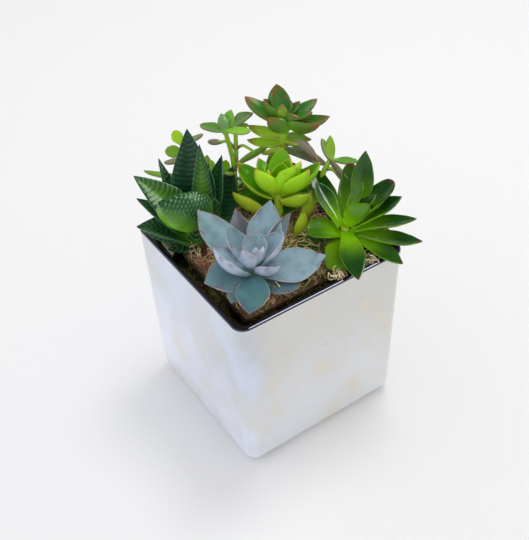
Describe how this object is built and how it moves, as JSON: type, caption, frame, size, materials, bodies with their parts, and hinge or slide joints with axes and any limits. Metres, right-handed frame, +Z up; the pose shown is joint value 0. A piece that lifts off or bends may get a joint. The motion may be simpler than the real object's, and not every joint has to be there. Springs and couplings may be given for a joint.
{
  "type": "succulent arrangement",
  "caption": "Square silver-glazed planter, open at the top, filled with soil and moss and planted with succulent rosettes and sprigs on short stems.",
  "frame": {"origin": "centre of the planter's flat underside", "axes": "+Z up out of the planter; X and Y square to the planter's sides, the blue-grey rosette standing near the -X -Y corner, the glossy rosette near +X -Y, the haworthia near -X +Y and the tall crown rosette near +X +Y"},
  "size_m": [0.1157, 0.1209, 0.1649],
  "materials": {
    "planter_glaze": "silvered glossy glaze, mottled with fine specks, dark and mirror-like on the rim and lip",
    "soil": "rough potting soil of bark and peat",
    "moss": "dry curled moss strands, tan with green and reddish bits",
    "stem": "satin green-brown stem",
    "sprig": "satin green paddle leaves, grey and reddish at the edges",
    "echeveria_leaf": "powdery blue-grey to lavender with pale margins and pink tips",
    "haworthia_leaf": "satin dark green with pale raised cross ridges",
    "lime_rosette_leaf": "satin lime green with orange edges",
    "glossy_rosette_leaf": "glossy green, lime at the foot, dark red at tips and edges",
    "crown_rosette_leaf": "satin green with reddish-brown undersides"
  },
  "bodies": {
    "root": {"back_sprig": "sprig", "crown_rosette_back_right_leaf": "crown_rosette_leaf", "crown_rosette_front_leaf": "crown_rosette_leaf", "crown_rosette_front_right_leaf": "crown_rosette_leaf", "crown_rosette_hanging_leaf": "crown_rosette_leaf", "crown_rosette_heart": "crown_rosette_leaf", "crown_rosette_left_leaf": "crown_rosette_leaf", "crown_rosette_right_leaf": "crown_rosette_leaf", "crown_rosette_stem": "stem", "crown_rosette_top_leaf": "crown_rosette_leaf", "echeveria_back_leaf": "echeveria_leaf", "echeveria_front_leaf": "echeveria_leaf", "echeveria_heart": "echeveria_leaf", "echeveria_inner_back_leaf": "echeveria_leaf", "echeveria_inner_left_leaf": "echeveria_leaf", "echeveria_inner_right_leaf": "echeveria_leaf", "echeveria_left_leaf": "echeveria_leaf", "echeveria_low_left_leaf": "echeveria_leaf", "echeveria_low_right_leaf": "echeveria_leaf", "echeveria_right_leaf": "echeveria_leaf", "echeveria_stem": "stem", "echeveria_tall_right_leaf": "echeveria_leaf", "glossy_rosette_back_leaf": "glossy_rosette_leaf", "glossy_rosette_back_right_leaf": "glossy_rosette_leaf", "glossy_rosette_front_leaf": "glossy_rosette_leaf", "glossy_rosette_front_right_leaf": "glossy_rosette_leaf", "glossy_rosette_heart": "glossy_rosette_leaf", "glossy_rosette_left_leaf": "glossy_rosette_leaf", "glossy_rosette_long_right_leaf": "glossy_rosette_leaf", "glossy_rosette_right_leaf": "glossy_rosette_leaf", "glossy_rosette_short_left_leaf": "glossy_rosette_leaf", "glossy_rosette_stem": "stem", "glossy_rosette_upper_right_leaf": "glossy_rosette_leaf", "glossy_rosette_upright_leaf": "glossy_rosette_leaf", "haworthia_back_left_leaf": "haworthia_leaf", "haworthia_back_right_leaf": "haworthia_leaf", "haworthia_core": "stem", "haworthia_front_leaf": "haworthia_leaf", "haworthia_left_leaf": "haworthia_leaf", "haworthia_low_leaf": "haworthia_leaf", "haworthia_lower_left_leaf": "haworthia_leaf", "haworthia_right_leaf": "haworthia_leaf", "haworthia_tall_leaf": "haworthia_leaf", "haworthia_tall_right_leaf": "haworthia_leaf", "left_sprig": "sprig", "lime_rosette_back_leaf": "lime_rosette_leaf", "lime_rosette_front_left_leaf": "lime_rosette_leaf", "lime_rosette_front_right_leaf": "lime_rosette_leaf", "lime_rosette_heart": "lime_rosette_leaf", "lime_rosette_left_leaf": "lime_rosette_leaf", "lime_rosette_low_back_leaf": "lime_rosette_leaf", "lime_rosette_low_left_leaf": "lime_rosette_leaf", "lime_rosette_low_right_leaf": "lime_rosette_leaf", "lime_rosette_right_leaf": "lime_rosette_leaf", "lime_rosette_stem": "stem", "moss": "moss", "pot": "planter_glaze", "right_sprig": "sprig", "soil": "soil"}
  },
  "joints": []
}
